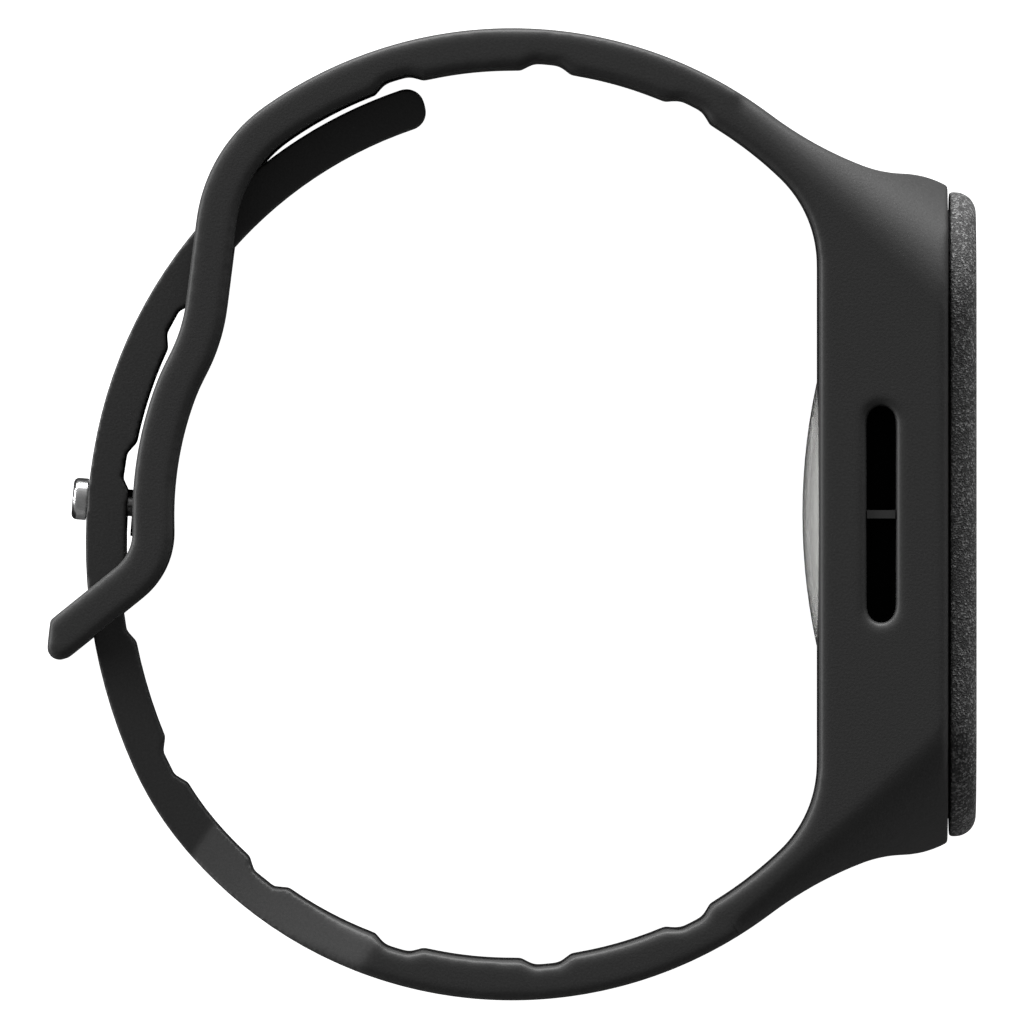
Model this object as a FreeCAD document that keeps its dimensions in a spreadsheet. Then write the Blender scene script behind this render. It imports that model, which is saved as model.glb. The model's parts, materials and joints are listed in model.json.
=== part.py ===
import FreeCAD, Part
import math
import os
import re

import Sketcher
from FreeCAD import Placement, Rotation, Vector

# Fitness tracker band: a silicone band with a moulded cradle, a tracker pod in the cradle, and a
# stud-and-loop closure. The band lies on its side.
#   +X  out through the front of the case, -X towards the closure behind the wrist
#   +Y  along the case towards the upper strap
#   +Z  across the band; the resting side lies at Z = 0
# The origin is on the resting side, in the middle of the case.

SIZES = {
    # the band and its round part behind the wrist
    "band_width": 24.0,
    "strap_thickness": 2.65,
    "ring_radius": 27.3,
    "ring_centre": 24.75,
    "ring_spread": 3.75,
    "root_angle": 58.0,
    "node_gap": 0.1,
    "run_out": 1.0,
    "bore_length": 3.0,
    # the side outline of the cradle and its two flared roots
    "back_plane": 4.32,
    "rim_plane": 4.3,
    "flare_angle": 53.0,
    "flare_radius": 25.0,
    "flare_turn": 16.0,
    "shoulder_radius": 8.0,
    "shoulder_turn": 20.0,
    "brow_radius": 6.3,
    "inner_corner": 8.0,
    # the plan outline of the cradle, seen from the front
    "plan_length": 44.3,
    "plan_corner": 8.5,
    "plan_tail_length": 60.0,
    "plan_tail_corner": 1.0,
    "plan_tail_plane": 12.0,
    # the upper strap behind its ring arc: a bend in, a straight, an S and the keeper end
    "upper_ring_turn": 67.1,
    "bend_radius": 9.6,
    "bend_turn": 47.7,
    "cross_run": 5.5,
    "hook_radius": 11.8,
    "hook_turn": 21.0,
    "web_entry_radius": 14.5,
    "web_entry_turn": 8.7,
    "web_radius": 23.9,
    "web_turn": 21.8,
    "keeper_radius": 4.3,
    "keeper_turn": 53.5,
    "keeper_run": 9.6,
    "keeper_reach": 6.95,
    "keeper_slant": 45.2,
    "keeper_heel": 0.83,
    "keeper_toe": 0.2,
    "keeper_window_run": 2.4,
    # the lower strap behind its ring arc: three arcs and the free tail
    "lower_ring_turn": 81.8,
    "knee_radius": 21.3,
    "knee_turn": 16.0,
    "back_radius": 35.1,
    "back_turn": 35.9,
    "tongue_radius": 29.4,
    "tongue_turn": 29.4,
    "tail_turn": 32.6,
    "tail_round": 1.2,
    # the narrow tongue, its taper, and the windows that it passes through
    "tongue_width": 15.0,
    "window_width": 15.6,
    "window_play": 0.15,
    "taper_angle": 30.0,
    # the grooves across the inner faces, and the stud holes in the tongue
    "groove_mouth": 3.2,
    "groove_floor": 1.7,
    "groove_depth": 0.5,
    "groove_overlap": 0.3,
    "groove_start": 2.4,
    "groove_pitch": 10.45,
    "hole_radius": 1.0,
    # the closure's stud
    "stud_distance": 62.6,
    "stud_head_radius": 1.4,
    "stud_head_length": 1.0,
    "stud_head_gap": 0.05,
    "stud_head_round": 0.35,
    "stud_neck_play": 0.02,
    "stud_neck_radius": 0.9,
    "stud_flange_radius": 1.8,
    "stud_flange_thickness": 0.5,
    "base_length": 4.4,
    "base_width": 5.0,
    "base_thickness": 0.4,
    "base_sink": 0.35,
    "base_corner": 1.2,
    # the cavity for the pod, its back lips and the port in the side wall
    "cavity_length": 41.0,
    "cavity_width": 20.6,
    "cavity_corner": 7.15,
    "cavity_floor": 3.3,
    "back_window_length": 36.0,
    "back_window_corner": 6.0,
    "port_length": 14.5,
    "port_width": 1.93,
    "port_x": 0.18,
    "port_play": 0.02,
    "port_wall": 0.2,
    "port_ring_height": 0.5,
    "port_rib": 0.55,
    "port_rib_drop": 0.25,
    "port_floor": 0.22,
    "port_mesh_thickness": 0.16,
    # the pod's chassis
    "pod_play": 0.15,
    "chassis_back": 3.25,
    "chassis_wall": 1.2,
    "floor_front": 1.7,
    "floor_back": 2.35,
    "optics_hole_radius": 8.5,
    "boss_radius": 1.2,
    "boss_bore_radius": 0.65,
    "boss_sink": 0.2,
    "boss_y": 16.3,
    "boss_z": 6.2,
    "board_back": 0.9,
    "chassis_port_length": 5.0,
    "chassis_port_width": 1.0,
    "chassis_port_y": 3.6,
    # the front cover
    "seam": 0.15,
    "front_length": 43.0,
    "front_width": 23.0,
    "front_corner": 8.0,
    "front_face": 6.2,
    "front_round": 1.4,
    "fabric_thickness": 0.55,
    "carrier_front": 5.65,
    "carrier_snug": 0.05,
    "plug_depth": 0.7,
    "plug_wall": 1.0,
    # the back cover and the sensor dome
    "cover_play": 0.1,
    "flange_front": 2.45,
    "seal_width": 1.5,
    "dome_radius": 9.15,
    "dome_sphere": 41.0,
    "dome_height": 1.034,
    "dome_wall": 0.35,
    "dome_rim_inner": 8.5,
    "dome_seat": 3.9,
    "dome_seat_radius": 9.2,
    "cover_hole_radius": 8.2,
    # the optics behind the dome
    "barrier_radius": 8.1,
    "barrier_back": 4.1,
    "barrier_front": 2.3,
    "sensor_board_radius": 8.3,
    "sensor_board_thickness": 0.4,
    "emitter_cell_length": 4.2,
    "emitter_cell_width": 2.6,
    "diode_cell": 3.0,
    "diode_cell_y": 4.3,
    "diode_cell_z": 3.6,
    "infrared_cell_length": 2.4,
    "infrared_cell_width": 1.8,
    "infrared_cell_z": 5.6,
    "chip_height": 0.6,
    "emitter_size": 1.4,
    "emitter_y": 1.0,
    "diode_size": 2.2,
    "infrared_size": 1.1,
    "contact_radius": 1.0,
    "contact_y": 14.0,
    "contact_sink": 0.05,
    # the boards, the battery and the chips
    "board_length": 37.4,
    "board_width": 17.2,
    "board_corner": 5.2,
    "board_front": 0.4,
    "board_hole_radius": 0.7,
    "screw_radius": 0.6,
    "screw_head_radius": 1.1,
    "screw_head_height": 0.5,
    "screw_length": 1.2,
    "connector_length": 6.0,
    "connector_width": 2.4,
    "battery_length": 23.4,
    "battery_width": 15.0,
    "battery_y": 14.6,
    "battery_corner": 1.0,
    "battery_z": 3.4,
    "battery_back": 0.2,
    "battery_front": 3.2,
    "foam_front": 3.65,
    "foam_length": 18.0,
    "foam_width": 10.0,
    "processor_size": 5.0,
    "radio_size": 4.0,
    "motion_size": 2.5,
    "board_chip_height": 0.7,
    "board_chip_y": 12.5,
    "motion_z": 17.2,
    "microphone_length": 3.0,
    "microphone_width": 2.0,
    "microphone_height": 1.0,
    "microphone_z": 18.7,
    "antenna_y": 18.85,
    "antenna_thickness": 0.2,
    "antenna_width": 6.0,
    "antenna_depth": 4.6,
    "antenna_x": 1.4,
    # the vibration motor
    "motor_y": 14.0,
    "motor_radius": 4.0,
    "motor_back": 0.35,
    "motor_front": 2.45,
    "motor_wall": 0.25,
    "motor_base_radius": 3.7,
    "motor_base_thickness": 0.3,
    "motor_shaft_radius": 0.4,
    "rotor_radius": 3.3,
    "rotor_hub_radius": 0.9,
    "rotor_bore_radius": 0.45,
    "rotor_back": 0.25,
    "rotor_front": 1.8,
}

doc = FreeCAD.newDocument("fitness_band")
sheet = doc.addObject("Spreadsheet::Sheet", "Sizes")
for row, (alias, number) in enumerate(SIZES.items(), start=1):
    sheet.set(f"A{row}", alias)
    sheet.set(f"B{row}", str(number))
    sheet.setAlias(f"B{row}", alias)
doc.recompute()

MIDDLE = "band_width / 2"
X_AXIS = Vector(1, 0, 0)
Z_AXIS = Vector(0, 0, 1)
NODES = []


# ---------------------------------------------------------------- expressions and document helpers

def link(text):
    """Turn the aliases in an expression into references to the sheet."""
    def refer(match):
        word = match.group()
        return "Sizes." + word if word in SIZES else word
    return re.sub(r"[a-z][a-z_]+", refer, str(text))


def value(text):
    """Work out an expression in the sheet's aliases."""
    return float(probe.evalExpression(link(text)))


def bind(obj, prop, text):
    obj.setExpression(prop, link(text))


def node(obj, label):
    """Name a finished sub-part and keep it for export."""
    obj.Label = label
    NODES.append(obj)
    return obj


def make_body(name):
    return doc.addObject("PartDesign::Body", name)


def sketch_on(body, name, role, along="0", turn=0.0):
    """A sketch on one of the body's origin planes, moved along the plane's normal."""
    plane = next(item for item in body.Origin.OriginFeatures if item.Role == role)
    sketch = body.newObject("Sketcher::SketchObject", name)
    sketch.AttachmentSupport = [(plane, "")]
    sketch.MapMode = "FlatFace"
    sketch.AttachmentOffset = Placement(Vector(0, 0, value(along)), Rotation(Vector(0, 1, 0), turn))
    if turn == 0.0:
        bind(sketch, "AttachmentOffset.Base.z", along)
    return sketch


def join_ends(sketch):
    """Tie together the ends of the sketch's lines and arcs that meet."""
    ends = []
    for index in range(sketch.GeometryCount):
        if not hasattr(sketch.Geometry[index], "StartPoint"):
            continue
        for position in (1, 2):
            ends.append((index, position, sketch.getPoint(index, position)))
    for place, (first, first_position, first_point) in enumerate(ends):
        for second, second_position, second_point in ends[place + 1:]:
            if first != second and first_point.distanceToPoint(second_point) < 1e-6:
                sketch.addConstraint(
                    Sketcher.Constraint("Coincident", first, first_position, second, second_position))


def fix_point(sketch, index, position, x_text, y_text):
    """Hold a point of the sketch at two expressions."""
    for kind, text in (("DistanceX", x_text), ("DistanceY", y_text)):
        number = sketch.addConstraint(
            Sketcher.Constraint(kind, -1, 1, index, position, value(text)))
        bind(sketch, f"Constraints[{number}]", text)


def outline(sketch, corners):
    """A closed polygon whose corners are pairs of expressions."""
    points = [Vector(value(x), value(y), 0) for x, y in corners]
    for place, (x_text, y_text) in enumerate(corners):
        after = points[(place + 1) % len(points)]
        index = sketch.addGeometry(Part.LineSegment(points[place], after), False)
        fix_point(sketch, index, 1, x_text, y_text)
    join_ends(sketch)


def rectangle(sketch, x, y, length, width):
    """A rectangle about a centre, along the sketch's own axes."""
    left, right = f"{x} - {length} / 2", f"{x} + {length} / 2"
    low, high = f"{y} - {width} / 2", f"{y} + {width} / 2"
    outline(sketch, [(left, low), (right, low), (right, high), (left, high)])


def circle(sketch, x, y, radius):
    centre = Vector(value(x), value(y), 0)
    index = sketch.addGeometry(Part.Circle(centre, Z_AXIS, value(radius)), False)
    bind_radius(sketch, index, radius)
    fix_point(sketch, index, 3, x, y)


def bind_radius(sketch, index, text):
    number = sketch.addConstraint(Sketcher.Constraint("Radius", index, value(text)))
    bind(sketch, f"Constraints[{number}]", text)


def add_arc(sketch, centre, radius, first, second):
    """An arc from one angle to another, in degrees, counter-clockwise."""
    full = Part.Circle(centre, Z_AXIS, value(radius))
    low, high = sorted((first, second))
    index = sketch.addGeometry(
        Part.ArcOfCircle(full, math.radians(low), math.radians(high)), False)
    bind_radius(sketch, index, radius)
    return index


def add_line(sketch, start, end):
    return sketch.addGeometry(Part.LineSegment(start, end), False)


def pill(sketch, x, y, length, width):
    """A slot with round ends that runs along the sketch's second axis."""
    reach = value(f"({length} - {width}) / 2")
    centre = Vector(value(x), value(y), 0)
    side = Vector(value(width) / 2, 0, 0)
    top, low = centre + Vector(0, reach, 0), centre - Vector(0, reach, 0)
    upper = add_arc(sketch, top, f"{width} / 2", 0, 180)
    lower = add_arc(sketch, low, f"{width} / 2", 180, 360)
    add_line(sketch, top + side, low + side)
    add_line(sketch, top - side, low - side)
    fix_point(sketch, upper, 3, x, f"{y} + ({length} - {width}) / 2")
    fix_point(sketch, lower, 3, x, f"{y} - ({length} - {width}) / 2")


def pad(body, sketch, length):
    feature = body.newObject("PartDesign::Pad", "Pad")
    feature.Profile = sketch
    bind(feature, "Length", length)
    doc.recompute()
    return feature


def pocket(body, sketch, depth, forward=False):
    """Cut against the sketch's normal, or along it when forward is true."""
    before = body.Shape.Volume
    feature = body.newObject("PartDesign::Pocket", "Pocket")
    feature.Profile = sketch
    feature.Reversed = forward
    bind(feature, "Length", depth)
    doc.recompute()
    if body.Shape.Volume > before - 1e-6:
        raise RuntimeError(f"{body.Name}: {sketch.Name} cuts nothing")
    return feature


def round_edges(body, feature, radius, chosen):
    """Fillet the edges of a feature that the test picks."""
    names = [f"Edge{place}" for place, edge in enumerate(feature.Shape.Edges, start=1) if chosen(edge)]
    fillet = body.newObject("PartDesign::Fillet", "Fillet")
    fillet.Base = (feature, names)
    bind(fillet, "Radius", radius)
    doc.recompute()
    return fillet


def runs_along(axis):
    """A test for straight edges along an axis."""
    def test(edge):
        if not isinstance(edge.Curve, Part.Line):
            return False
        return abs(abs(edge.Curve.Direction.dot(axis)) - 1) < 1e-6
    return test


def plate(name, length, width, corner, back, front):
    """A flat plate across X with rounded corners, between two planes."""
    body = make_body(name)
    sketch = sketch_on(body, name + "_outline", "YZ_Plane", back)
    rectangle(sketch, "0", MIDDLE, length, width)
    feature = pad(body, sketch, f"{front} - ({back})")
    round_edges(body, feature, corner, runs_along(X_AXIS))
    return body


def frame_plate(name, outer, inner, back, front):
    """A plate with a rounded hole: outer and inner are each (length, width, corner)."""
    return cut(name, plate(name + "_outer", *outer, back, front),
               plate(name + "_inner", *inner, f"{back} - run_out", f"{front} + run_out"))


def box(name, x, y, z, depth, length, width):
    """A box with its lowest corner at (x, y, z); depth runs along X."""
    part = doc.addObject("Part::Box", name)
    for prop, text in (("Length", depth), ("Width", length), ("Height", width)):
        bind(part, prop, text)
    for axis, text in (("x", x), ("y", y), ("z", z)):
        bind(part, f"Placement.Base.{axis}", text)
    return part


def chip(name, x, y, z, depth, size):
    """A square chip whose middle is at (y, z)."""
    return box(name, x, f"{y} - {size} / 2", f"{z} - {size} / 2", depth, size, size)


def disc(name, x, y, z, radius, length):
    """A cylinder along X from the plane at x."""
    part = doc.addObject("Part::Cylinder", name)
    bind(part, "Radius", radius)
    bind(part, "Height", length)
    part.Placement = Placement(Vector(0, 0, 0), Rotation(Vector(0, 1, 0), 90))
    for axis, text in (("x", x), ("y", y), ("z", z)):
        bind(part, f"Placement.Base.{axis}", text)
    return part


def cut(name, base, tool):
    result = doc.addObject("Part::Cut", name)
    result.Base = base
    result.Tool = tool
    doc.recompute()
    return result


def common(name, base, tool):
    result = doc.addObject("Part::Common", name)
    result.Base = base
    result.Tool = tool
    doc.recompute()
    return result


def fuse(name, shapes):
    result = doc.addObject("Part::MultiFuse", name)
    result.Shapes = shapes
    doc.recompute()
    return result


def extrude(name, sketch, length):
    """A solid from a free sketch, along the sketch's normal."""
    block = doc.addObject("Part::Extrusion", name)
    block.Base = sketch
    block.DirMode = "Normal"
    bind(block, "LengthFwd", length)
    block.Solid = True
    doc.recompute()
    return block


def group(name, shapes):
    result = doc.addObject("Part::Compound", name)
    result.Links = shapes
    doc.recompute()
    return result


probe = doc.addObject("App::FeaturePython", "Probe")


# ---------------------------------------------------------------- the straps' side outline

def polar(centre, radius, degrees):
    angle = math.radians(degrees)
    return centre + Vector(radius * math.cos(angle), radius * math.sin(angle), 0)


def follow(start, heading, steps):
    """Walk along a strap's middle line; returns each step's geometry and the walk's end.

    A step is ("line", length) or ("left" or "right", radius, turn), all expressions.
    """
    pieces = []
    for kind, *measures in steps:
        if kind == "line":
            end = polar(start, value(measures[0]), heading)
            pieces.append({"kind": kind, "start": start, "end": end, "heading": heading})
        else:
            side = 1 if kind == "left" else -1
            radius = value(measures[0])
            centre = polar(start, radius, heading + 90 * side)
            first = heading - 90 * side
            turn = value(measures[1]) * side
            end = polar(centre, radius, first + turn)
            pieces.append({"kind": kind, "centre": centre, "radius": measures[0],
                           "first": first, "second": first + turn})
            heading += turn
        start = end
    return pieces, start, heading


def ribbon(sketch, start, heading, steps, thickness):
    """The closed side outline of a strap of even thickness along a walk."""
    half = value(thickness) / 2
    pieces, end, last_heading = follow(start, heading, steps)
    for piece in pieces:
        for side in (1, -1):
            if piece["kind"] == "line":
                shift = polar(Vector(0, 0, 0), half, piece["heading"] + 90 * side)
                add_line(sketch, piece["start"] + shift, piece["end"] + shift)
            else:
                inward = 1 if piece["kind"] == "left" else -1
                sign = "-" if side == inward else "+"
                add_arc(sketch, piece["centre"], f"{piece['radius']} {sign} {thickness} / 2",
                        piece["first"], piece["second"])
    for point, direction in ((start, heading), (end, last_heading)):
        add_line(sketch, polar(point, half, direction + 90), polar(point, half, direction - 90))
    join_ends(sketch)


def strap_body(name, start, heading, steps, thickness, low, width):
    """A strap across Z, from the height low and as wide as given."""
    body = make_body(name)
    sketch = sketch_on(body, name + "_side", "XY_Plane", low)
    ribbon(sketch, start, heading, steps, thickness)
    pad(body, sketch, width)
    return body


def ring_middle(side):
    return Vector(-value("ring_centre"), side * value("ring_spread"), 0)


# ---------------------------------------------------------------- the cradle

def flare_outline(sketch, side):
    """One half of the cradle's side outline; side is 1 for the upper half and -1 for the lower."""
    def at(x, y):
        return Vector(x, side * y, 0)

    def mirrored_arc(centre, radius, first, second):
        add_arc(sketch, at(centre.x, centre.y), radius, side * first, side * second)

    ring = ring_middle(1)
    outer = value("ring_radius + strap_thickness / 2")
    inner = value("ring_radius - strap_thickness / 2")
    root, flare = value("root_angle"), value("flare_angle")
    corner = value("inner_corner")

    # the outer face: ring arc, two hollow arcs, and a brow that rolls over to the rim
    mirrored_arc(ring, "ring_radius + strap_thickness / 2", flare, root)
    start, angle = polar(ring, outer, flare), flare
    for radius, turn in (("flare_radius", "flare_turn"), ("shoulder_radius", "shoulder_turn")):
        hollow = polar(start, value(radius), angle)
        mirrored_arc(hollow, radius, angle + 180, angle + 180 + value(turn))
        angle += value(turn)
        start = polar(hollow, value(radius), angle + 180)
    brow = polar(start, value("brow_radius"), angle + 180)
    last = math.degrees(math.acos((value("rim_plane") - brow.x) / value("brow_radius")))
    mirrored_arc(brow, "brow_radius", last, angle)
    rim = polar(brow, value("brow_radius"), last)

    # the inner face: ring arc, round corner, back plane
    back = -value("back_plane")
    middle_x = back - corner
    drop = middle_x - ring.x
    middle = Vector(middle_x, ring.y + math.sqrt((inner - corner) ** 2 - drop ** 2), 0)
    meeting = math.degrees(math.atan2(middle.y - ring.y, drop))
    mirrored_arc(ring, "ring_radius - strap_thickness / 2", meeting, root)
    mirrored_arc(middle, "inner_corner", 0, meeting)
    start, end = polar(ring, inner, root), polar(ring, outer, root)
    add_line(sketch, at(start.x, start.y), at(end.x, end.y))
    return rim.y, middle.y


def make_cradle():
    side_view = make_body("cradle_side")
    sketch = sketch_on(side_view, "cradle_side_outline", "XY_Plane")
    rim_y, back_y = flare_outline(sketch, 1)
    flare_outline(sketch, -1)
    rim, back = value("rim_plane"), -value("back_plane")
    add_line(sketch, Vector(rim, rim_y, 0), Vector(rim, -rim_y, 0))
    add_line(sketch, Vector(back, back_y, 0), Vector(back, -back_y, 0))
    join_ends(sketch)
    pad(side_view, sketch, "band_width")

    # seen from the front the corners are round, and they fade out towards the straps
    plan = doc.addObject("Part::Loft", "cradle_plan")
    plan.Sections = [
        rounded_section("plan_front", "rim_plane", "plan_length", "plan_corner"),
        rounded_section("plan_tail", "-plan_tail_plane", "plan_tail_length", "plan_tail_corner"),
    ]
    plan.Solid = True
    plan.Ruled = True
    doc.recompute()
    blank = common("cradle_blank", side_view, plan)

    cavity = plate("pod_cavity", "cavity_length", "cavity_width", "cavity_corner",
                   "-cavity_floor", "rim_plane + run_out")
    window = plate("back_window", "back_window_length", "cavity_width", "back_window_corner",
                   "-back_plane - run_out", "rim_plane")
    port = make_body("side_port")
    sketch = sketch_on(port, "side_port_outline", "XY_Plane", MIDDLE)
    pill(sketch, "-port_x", "0", "port_length", "port_width")
    join_ends(sketch)
    pad(port, sketch, "band_width")
    hollow = fuse("cradle_hollow", [cavity, window, port])
    node(cut("cradle_cut", blank, hollow), "cradle_shell")


def rounded_section(name, plane, length, corner):
    """A rounded rectangle across X, as wide as the band, for a loft."""
    carrier = doc.addObject("Sketcher::SketchObject", name)
    turned = Rotation(Vector(0, 1, 0), Vector(0, 0, 1), Vector(1, 0, 0), "XYZ")
    carrier.Placement = Placement(Vector(value(plane), 0, 0), turned)
    reach, radius, width = value(f"{length} / 2"), value(corner), value("band_width")
    corners = [(reach - radius, radius, 270), (reach - radius, width - radius, 0),
               (radius - reach, width - radius, 90), (radius - reach, radius, 180)]
    for place, (x, y, first) in enumerate(corners):
        centre = Vector(x, y, 0)
        add_arc(carrier, centre, corner, first, first + 90)
        after_x, after_y, after_first = corners[(place + 1) % 4]
        add_line(carrier, polar(centre, radius, first + 90),
                 polar(Vector(after_x, after_y, 0), radius, after_first))
    join_ends(carrier)
    return carrier


# ---------------------------------------------------------------- the straps

UPPER_STEPS = [
    ("left", "ring_radius", "upper_ring_turn"),
    ("left", "bend_radius", "bend_turn"),
    ("line", "cross_run"),
    ("right", "hook_radius", "hook_turn"),
    ("left", "web_entry_radius", "web_entry_turn"),
    ("left", "web_radius", "web_turn"),
]
KEEPER_STEPS = [
    ("right", "keeper_radius", "keeper_turn"),
    ("line", "keeper_run"),
]
LOWER_STEPS = [
    ("right", "ring_radius", "lower_ring_turn"),
    ("right", "knee_radius", "knee_turn"),
    ("right", "back_radius", "back_turn"),
    ("right", "tongue_radius", "tongue_turn"),
]
TAIL_STEPS = [("right", "tongue_radius", "tail_turn")]
UPPER_GROOVES = 3
LOWER_GROOVES = 8
HOLES_BEFORE_STUD = 2
HOLES_AFTER_STUD = 3


def upper_start():
    root = value("root_angle")
    return polar(ring_middle(1), value("ring_radius"), root), root + 90


def lower_start():
    root = -value("root_angle")
    return polar(ring_middle(-1), value("ring_radius"), root), root - 90


def after_gap(point, heading):
    return polar(point, value("node_gap"), heading)


def spot_along(start, heading, steps, distance):
    """The point and heading at a distance along a strap's middle line."""
    for step in steps:
        kind, *measures = step
        if kind == "line":
            run = value(measures[0])
        else:
            run = value(measures[0]) * math.radians(value(measures[1]))
        if distance <= run:
            break
        start, heading = follow(start, heading, [step])[1:]
        distance -= run
    if kind == "line":
        return polar(start, distance, heading), heading
    side = 1 if kind == "left" else -1
    radius = value(measures[0])
    turn = math.degrees(distance / radius) * side
    centre = polar(start, radius, heading + 90 * side)
    return polar(centre, radius, heading - 90 * side + turn), heading + turn


def make_tongue_path():
    """The space that the tongue takes up in the windows, with a little play all round."""
    start, heading = lower_start()
    return strap_body("tongue_path", start, heading, LOWER_STEPS + TAIL_STEPS,
                      "(strap_thickness + 2 * window_play)",
                      "(band_width - window_width) / 2", "window_width")


def make_upper_strap(tongue_path, stud_seat):
    start, heading = upper_start()
    body = strap_body("upper_strap_blank", start, heading, UPPER_STEPS, "strap_thickness", "0",
                      "band_width")
    spots = groove_spots(start, heading, UPPER_STEPS, UPPER_GROOVES)
    grooved = cut("upper_strap_grooved", body, groove_bars("upper_grooves", spots, 1))
    windowed = cut("upper_strap_windowed", grooved, tongue_path)
    node(cut("upper_strap_cut", windowed, stud_seat), "upper_strap")


def make_keeper_loop(tongue_path):
    start, heading = upper_start()
    split, heading = follow(start, heading, UPPER_STEPS)[1:]
    start = after_gap(split, heading)
    body = strap_body("keeper_blank", start, heading, KEEPER_STEPS, "strap_thickness", "0",
                      "band_width")
    slant_end(body, start, heading)
    open_steps = [("right", "keeper_radius", "keeper_turn"), ("line", "keeper_window_run")]
    window = strap_body("keeper_window", start, heading, open_steps, "2 * strap_thickness",
                        "(band_width - window_width) / 2", "window_width")
    node(cut("keeper_cut", cut("keeper_opened", body, window), tongue_path), "keeper_loop")


def slant_end(body, start, heading):
    """Cut the keeper's end on the slant, with a full heel under it and a crisp toe above."""
    bend_end, way = follow(start, heading, KEEPER_STEPS[:1])[1:]
    middle = polar(bend_end, value("keeper_reach"), way)
    face = way - value("keeper_slant")
    reach = 2 * value("strap_thickness")
    low, high = polar(middle, reach, face + 90), polar(middle, reach, face - 90)
    waste = [low, high, polar(high, reach, face), polar(low, reach, face)]
    sketch = sketch_on(body, "keeper_end", "XY_Plane")
    for place, corner in enumerate(waste):
        add_line(sketch, corner, waste[(place + 1) % len(waste)])
    join_ends(sketch)
    pocket(body, sketch, "band_width", forward=True)

    def on_face(side):
        def test(edge):
            offset = edge.CenterOfMass - middle
            flat = Vector(offset.x, offset.y, 0)
            level = flat.dot(polar(Vector(0, 0, 0), 1, face))
            across = flat.dot(polar(Vector(0, 0, 0), 1, face + 90))
            return runs_along(Z_AXIS)(edge) and abs(level) < 1e-6 and across * side > 0
        return test

    toe = round_edges(body, body.Tip, "keeper_toe", on_face(-1))
    round_edges(body, toe, "keeper_heel", on_face(1))


def round_end(body, end, radius):
    """Round the two cross edges at a strap's end."""
    def at_end(edge):
        flat = edge.CenterOfMass - end
        near = math.hypot(flat.x, flat.y) < value("strap_thickness")
        return runs_along(Z_AXIS)(edge) and near

    round_edges(body, body.Tip, radius, at_end)


def make_lower_strap(holes):
    """Wide at the cradle, a taper, then the narrow tongue: one moulding."""
    start, heading = lower_start()
    wide_steps = [("right", "ring_radius", "lower_ring_turn - taper_angle")]
    taper_steps = [("right", "ring_radius", "taper_angle")]
    wide = strap_body("lower_wide", start, heading, wide_steps, "strap_thickness", "0",
                      "band_width")
    taper_start, taper_heading = follow(start, heading, wide_steps)[1:]
    taper = strap_body("lower_taper", taper_start, taper_heading, taper_steps,
                       "strap_thickness", "0", "band_width")
    shaped = common("lower_taper_shaped", taper, taper_plan(taper_start, taper_heading))
    tongue_start, tongue_heading = follow(taper_start, taper_heading, taper_steps)[1:]
    tongue = strap_body("lower_tongue", tongue_start, tongue_heading, LOWER_STEPS[1:],
                        "strap_thickness", "(band_width - tongue_width) / 2", "tongue_width")
    strap = fuse("lower_strap_blank", [wide, shaped, tongue])
    spots = groove_spots(start, heading, LOWER_STEPS, LOWER_GROOVES)
    grooved = cut("lower_strap_grooved", strap, groove_bars("lower_grooves", spots, -1))
    node(cut("lower_strap_cut", grooved, holes), "lower_strap")


def taper_plan(start, heading):
    """The taper's outline seen square on, as a block through the strap."""
    turn = value("taper_angle")
    middle = follow(start, heading, [("right", "ring_radius", "taper_angle / 2")])[1]
    along = heading - turn / 2
    reach = value("ring_radius - strap_thickness / 2") * math.sin(math.radians(turn / 2))
    run_on = value("strap_thickness")
    sketch = doc.addObject("Sketcher::SketchObject", "taper_outline")
    rows = [(-reach - run_on, "band_width"), (-reach, "band_width"),
            (reach, "tongue_width"), (reach + run_on, "tongue_width")]
    right = [Vector(x, value("band_width / 2") - value(width) / 2, 0) for x, width in rows]
    left = [Vector(x, value("band_width / 2") + value(width) / 2, 0) for x, width in reversed(rows)]
    corners = right + left
    for place, corner in enumerate(corners):
        add_line(sketch, corner, corners[(place + 1) % len(corners)])
    join_ends(sketch)
    direction = polar(Vector(0, 0, 0), 1, along)
    normal = direction.cross(Z_AXIS)
    turned = Rotation(direction, Z_AXIS, normal, "XYZ")
    sketch.Placement = Placement(middle - normal * run_on, turned)
    return extrude("taper_block", sketch, "2 * strap_thickness")


def make_strap_tail(holes):
    start, heading = lower_start()
    split, heading = follow(start, heading, LOWER_STEPS)[1:]
    start = after_gap(split, heading)
    body = strap_body("tail_blank", start, heading, TAIL_STEPS, "strap_thickness",
                      "(band_width - tongue_width) / 2", "tongue_width")
    round_end(body, follow(start, heading, TAIL_STEPS)[1], "tail_round")
    node(cut("tail_cut", body, holes), "strap_tail")


def groove_spots(start, heading, steps, count):
    return [spot_along(start, heading, steps, value("groove_start") + place * value("groove_pitch"))
            for place in range(count)]


def groove_bars(name, spots, side):
    """Bars of trapezoid section across a strap's inner face, one at each spot."""
    sketch = doc.addObject("Sketcher::SketchObject", name)
    mouth, floor, depth = value("groove_mouth"), value("groove_floor"), value("groove_depth")
    half = value("strap_thickness") / 2
    overlap = value("groove_overlap")
    slope = (mouth - floor) / 2 / depth
    wide = mouth / 2 + slope * overlap
    for point, heading in spots:
        inward = polar(Vector(0, 0, 0), 1, heading + 90 * side)
        along = polar(Vector(0, 0, 0), 1, heading)
        low = point + inward * (half + overlap)
        high = point + inward * (half - depth)
        corners = [low - along * wide, low + along * wide,
                   high + along * (floor / 2), high - along * (floor / 2)]
        for place, corner in enumerate(corners):
            add_line(sketch, corner, corners[(place + 1) % 4])
    join_ends(sketch)
    return extrude(name + "_bars", sketch, "band_width")


# ---------------------------------------------------------------- the closure's stud

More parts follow.
